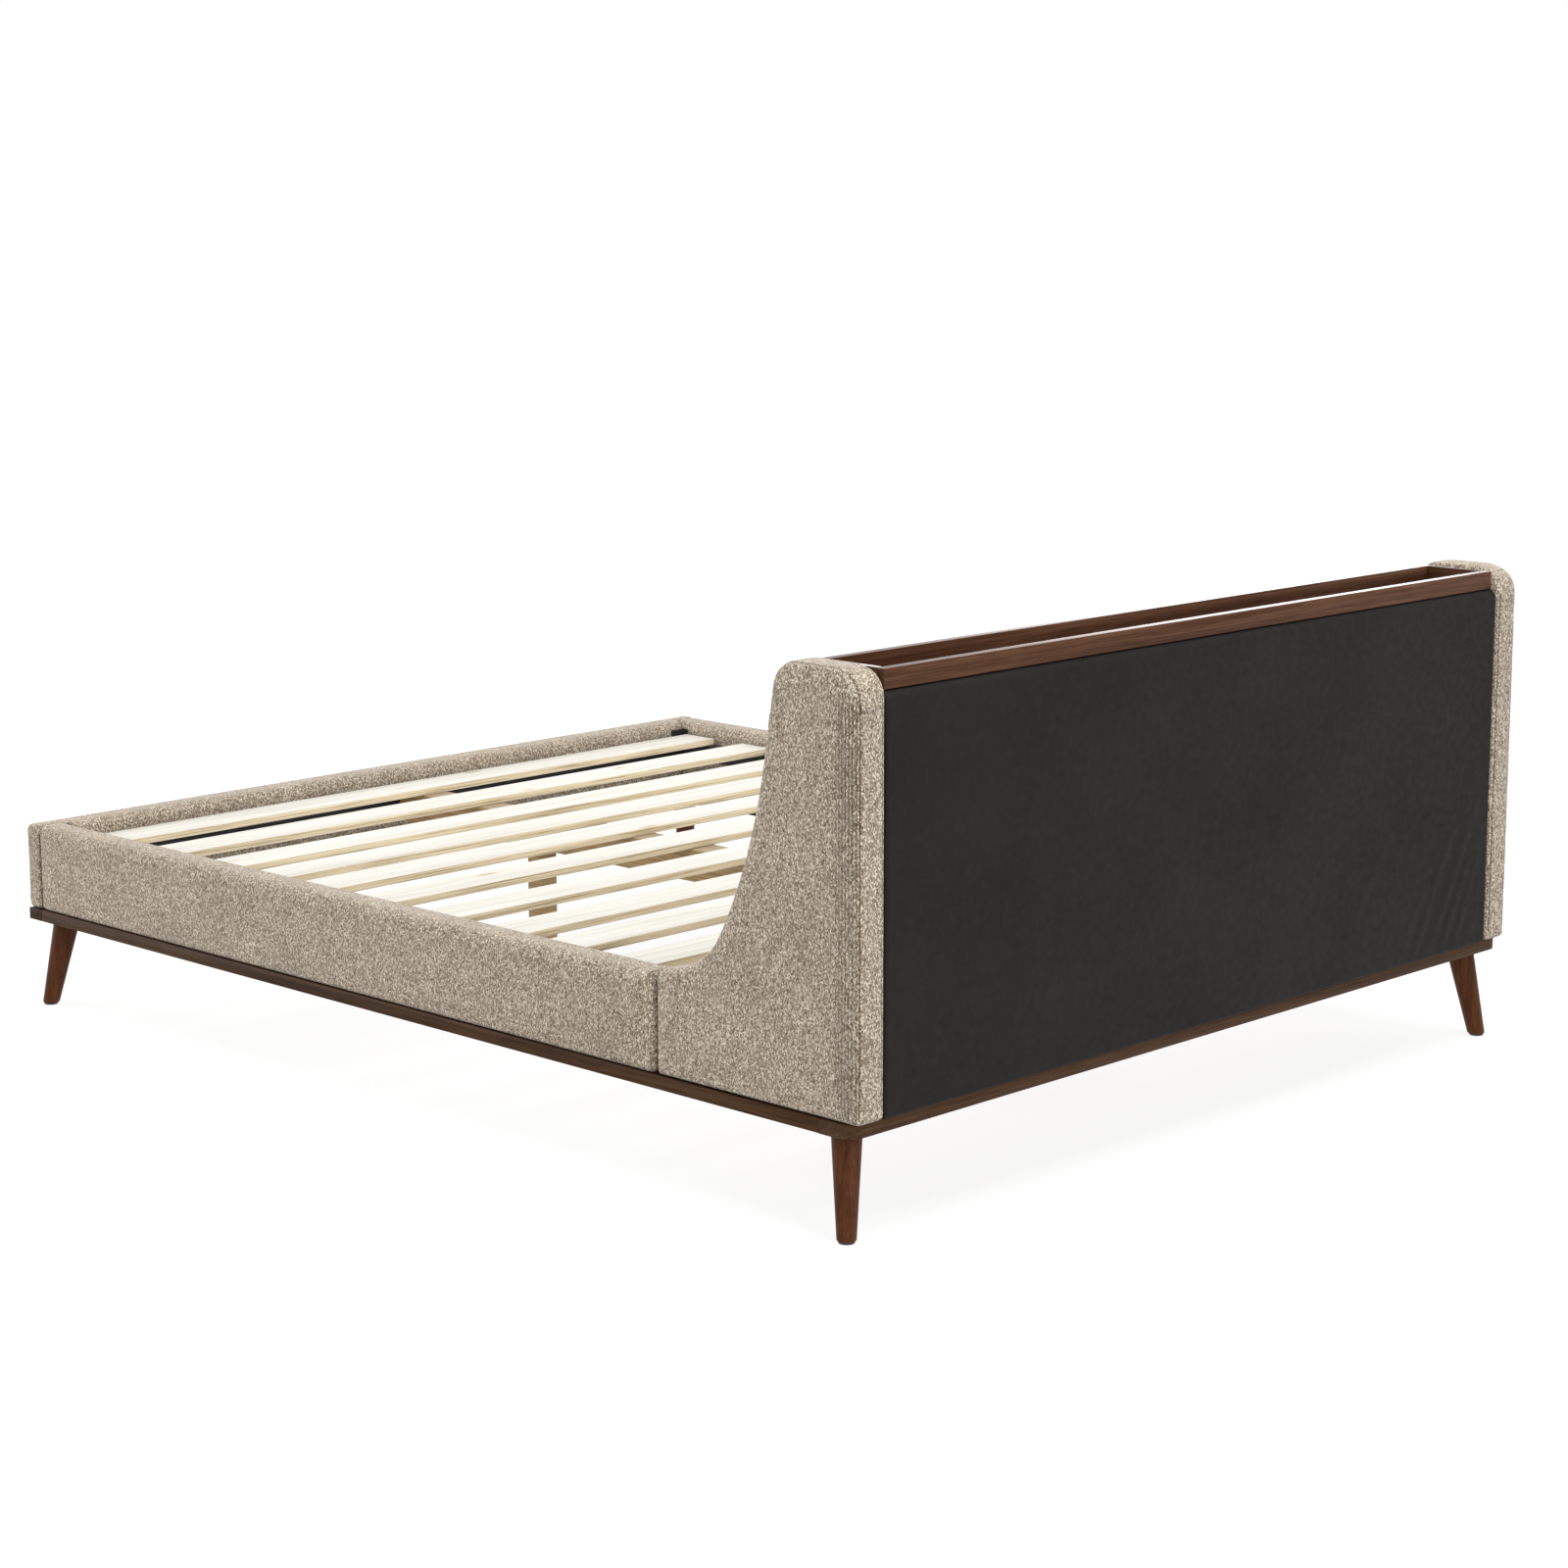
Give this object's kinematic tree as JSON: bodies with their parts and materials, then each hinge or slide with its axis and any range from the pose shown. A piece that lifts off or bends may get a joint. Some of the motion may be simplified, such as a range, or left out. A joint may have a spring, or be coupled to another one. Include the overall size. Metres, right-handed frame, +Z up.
{
  "type": "sleigh bed",
  "caption": "Upholstered bed with a winged, sleigh-curved headboard, a timber tray along its top, a slatted base and a timber plinth on splayed tapered legs.",
  "frame": {"origin": "centre of the bed's footprint, on the floor", "axes": "+X across the bed, to the left-hand side of someone lying in it on their back; +Y towards the headboard; +Z up"},
  "size_m": [1.95, 2.432, 0.98],
  "materials": {
    "tweed": "heathered beige and grey boucle tweed",
    "leatherette": "charcoal artificial leather with a soft grain",
    "walnut": "dark walnut, satin, grain along the length",
    "leg_walnut": "reddish walnut stain, satin",
    "pine": "pale unfinished laminated softwood with darker glue lines on the edges",
    "plywood": "raw plywood",
    "black_timber": "black stained timber",
    "black_steel": "black powder coat",
    "steel": "zinc plated",
    "black_plastic": "moulded, matt"
  },
  "bodies": {
    "bed": {"plinth_head": "walnut", "plinth_foot": "walnut", "plinth_side_right": "walnut", "plinth_side_left": "walnut", "tray_rear": "walnut", "tray_front": "walnut", "tray_end_right": "walnut", "tray_end_left": "walnut", "tray_floor": "walnut", "leg_head_right": "leg_walnut", "glide_head_right": "black_plastic", "leg_bolt_head_right": "steel", "leg_head_left": "leg_walnut", "glide_head_left": "black_plastic", "leg_bolt_head_left": "steel", "leg_foot_right": "leg_walnut", "glide_foot_right": "black_plastic", "leg_bolt_foot_right": "steel", "leg_foot_left": "leg_walnut", "glide_foot_left": "black_plastic", "leg_bolt_foot_left": "steel", "side_rail_cover_right": "tweed", "side_rail_cover_left": "tweed", "foot_panel_cover": "tweed", "wing_cover_right": "tweed", "wing_cover_left": "tweed", "head_cushion": "tweed", "side_rail_board_right": "plywood", "side_rail_board_left": "plywood", "foot_panel_board": "plywood", "wing_board_right": "plywood", "wing_board_left": "plywood", "head_cushion_board": "plywood", "head_post_right": "plywood", "head_post_left": "plywood", "head_top_rail": "plywood", "head_cross_board": "plywood", "back_panel": "leatherette", "slat_01": "pine", "slat_02": "pine", "slat_03": "pine", "slat_04": "pine", "slat_05": "pine", "slat_06": "pine", "slat_07": "pine", "slat_08": "pine", "slat_09": "pine", "slat_10": "pine", "slat_11": "pine", "slat_12": "pine", "centre_beam": "pine", "centre_leg_foot": "pine", "centre_leg_head": "pine", "side_ledger_right": "black_timber", "side_ledger_left": "black_timber", "foot_ledger": "black_timber", "corner_bracket_right": "black_steel", "corner_bracket_left": "black_steel"},
    "leveller_foot": {"leveller_foot": "black_plastic"},
    "leveller_head": {"leveller_head": "black_plastic"}
  },
  "joints": [
    {"name": "leveller_foot_screw", "type": "slide", "parent": "bed", "child": "leveller_foot", "axis": [0, 0, 1], "range_m": [0, 0.01]},
    {"name": "leveller_head_screw", "type": "slide", "parent": "bed", "child": "leveller_head", "axis": [0, 0, 1], "range_m": [0, 0.01]}
  ]
}
